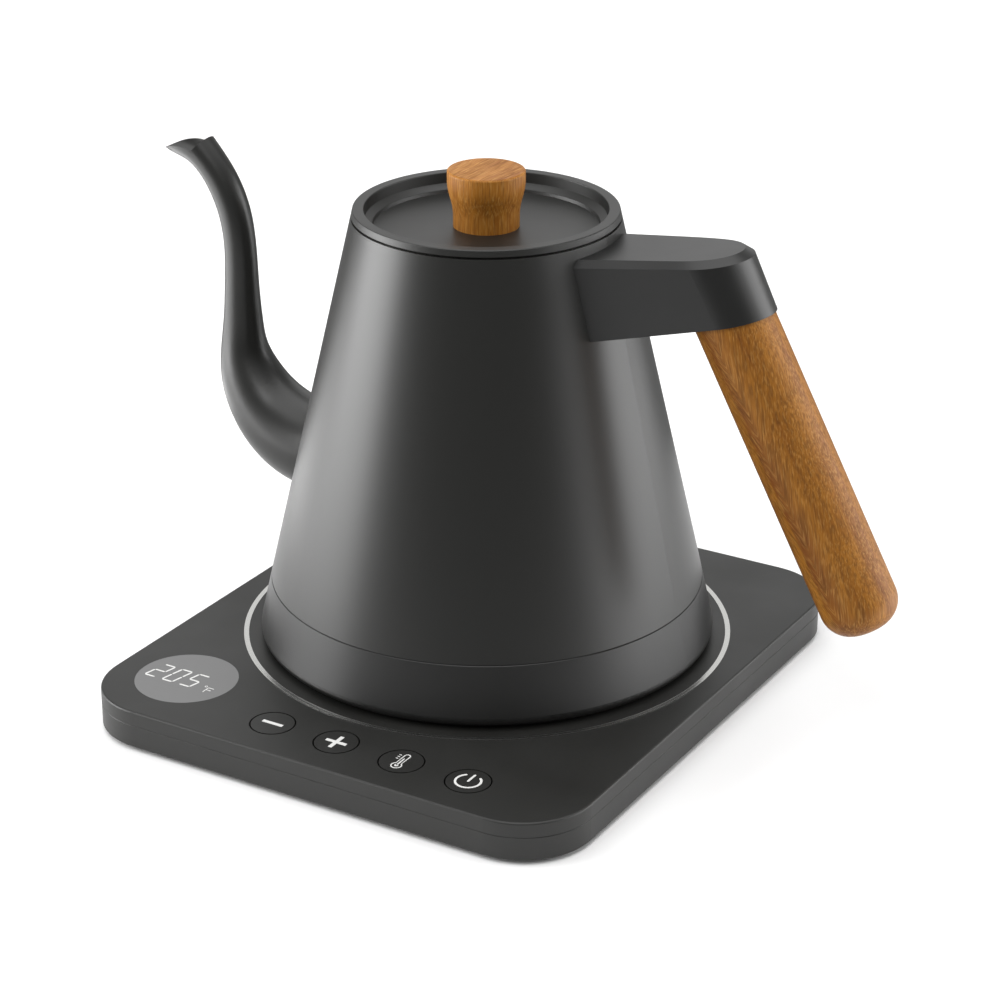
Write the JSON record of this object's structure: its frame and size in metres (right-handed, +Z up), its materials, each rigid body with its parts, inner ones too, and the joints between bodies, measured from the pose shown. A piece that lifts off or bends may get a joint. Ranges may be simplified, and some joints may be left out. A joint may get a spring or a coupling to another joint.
{
  "type": "electric gooseneck kettle",
  "caption": "Electric gooseneck kettle: conical body, slim curved spout, wooden grip, on a heating base with round display and push buttons; the kettle turns and lifts off, the lid lifts out.",
  "frame": {"origin": "middle of the whole object's footprint box, at the table under the feet", "axes": "+Z up, -X towards the spout's tip, +X towards the handle, -Y towards the display and buttons"},
  "size_m": [0.2892, 0.2162, 0.1854],
  "materials": {
    "satin_black_steel": "satin black coating on steel, fine even texture",
    "satin_black_lid": "satin black coating on steel",
    "satin_black_plastic": "satin black moulded plastic",
    "base_plastic": "dark grey moulded plastic with a fine satin texture",
    "oiled_wood": "oiled orange-brown hardwood with fine dark pores along the grain",
    "polished_steel": "polished ring",
    "display_window": "grey tinted window, satin front",
    "white_print": "white digits and plain icons",
    "stainless_steel": "brushed stainless steel",
    "zinc_plated_steel": "zinc-plated steel",
    "bare_aluminium": "bare pressed aluminium",
    "connector_plastic": "black heat-resistant plastic",
    "contact_brass": "plain brass",
    "grey_silicone": "grey silicone",
    "black_rubber": "black rubber",
    "circuit_board": "green solder mask",
    "component_plastic": "black component cases"
  },
  "bodies": {
    "base": {"base_tray": "base_plastic", "base_cover": "base_plastic", "seat_ring": "polished_steel", "rubber_feet": "black_rubber", "base_screws": "zinc_plated_steel", "cord_gland": "black_rubber", "base_connector": "connector_plastic", "base_contacts": "contact_brass", "display_lens": "display_window", "display_module": "component_plastic", "control_board": "circuit_board", "tact_switches": "component_plastic", "power_board": "circuit_board", "power_relay": "component_plastic", "filter_capacitor": "component_plastic"},
    "connector_ring": {"connector_ring": "connector_plastic"},
    "kettle": {"kettle_body": "satin_black_steel", "gooseneck_spout": "satin_black_steel", "kettle_skirt": "satin_black_plastic", "heater_plate": "stainless_steel", "heat_diffuser": "bare_aluminium", "heating_element": "stainless_steel", "temperature_probe": "stainless_steel", "thermal_cutout": "connector_plastic", "plate_studs": "stainless_steel", "skirt_screws": "zinc_plated_steel", "kettle_connector": "connector_plastic", "kettle_contacts": "contact_brass", "handle_bracket": "stainless_steel", "handle_arm": "satin_black_plastic", "handle_screws": "zinc_plated_steel", "handle_grip": "oiled_wood", "grip_stud": "stainless_steel"},
    "lid": {"lid_shell": "satin_black_lid", "lid_liner": "stainless_steel", "lid_gasket": "grey_silicone", "lid_knob": "oiled_wood", "knob_screw": "zinc_plated_steel", "knob_washer": "stainless_steel"},
    "button_minus": {"button_minus": "base_plastic"},
    "button_plus": {"button_plus": "base_plastic"},
    "button_preset": {"button_preset": "base_plastic"},
    "button_power": {"button_power": "base_plastic"}
  },
  "joints": [
    {"name": "kettle_swivel", "type": "hinge", "parent": "base", "child": "connector_ring", "pos_m": [-0.01123, 0.0109, 0.0153], "axis": [0, 0, 1], "continuous": true},
    {"name": "kettle_lift", "type": "slide", "parent": "connector_ring", "child": "kettle", "axis": [0, 0, 1], "range_m": [0, 0.15]},
    {"name": "lid_lift", "type": "slide", "parent": "kettle", "child": "lid", "axis": [0, 0, 1], "range_m": [0, 0.08]},
    {"name": "button_minus_press", "type": "slide", "parent": "base", "child": "button_minus", "axis": [0, 0, -1], "range_m": [0, 0.0005], "stiffness_N_per_m": 1000, "springref_m": -0.0015},
    {"name": "button_plus_press", "type": "slide", "parent": "base", "child": "button_plus", "axis": [0, 0, -1], "range_m": [0, 0.0005], "stiffness_N_per_m": 1000, "springref_m": -0.0015},
    {"name": "button_preset_press", "type": "slide", "parent": "base", "child": "button_preset", "axis": [0, 0, -1], "range_m": [0, 0.0005], "stiffness_N_per_m": 1000, "springref_m": -0.0015},
    {"name": "button_power_press", "type": "slide", "parent": "base", "child": "button_power", "axis": [0, 0, -1], "range_m": [0, 0.0005], "stiffness_N_per_m": 1000, "springref_m": -0.0015}
  ]
}
